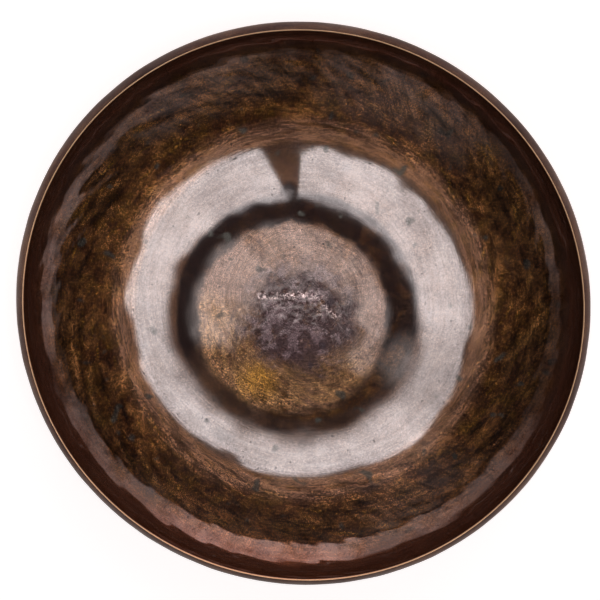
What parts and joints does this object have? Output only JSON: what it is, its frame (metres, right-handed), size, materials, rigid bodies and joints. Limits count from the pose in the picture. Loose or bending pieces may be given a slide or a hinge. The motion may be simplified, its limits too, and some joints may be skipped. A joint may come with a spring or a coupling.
{
  "type": "tam tam gong",
  "caption": "Round hand-hammered bronze gong with a shallow dished face and a turned-in rim, hung by a cord through its rim and struck with a soft mallet.",
  "frame": {"origin": "centre of the flat spot in the middle of the playing face, on the surface that the gong lies on", "axes": "+Z out of the hollow back along the gong's axis, +Y towards the top of the gong as it hangs, between its cord holes"},
  "size_m": [0.5042, 0.4956, 0.1021],
  "materials": {
    "patinated_bronze": "hand-hammered bronze, dark brown fire patina with golden flecks, satin sheen, bare metal on the cut lip"
  },
  "bodies": {
    "root": {"gong_disc": "patinated_bronze"}
  },
  "joints": []
}
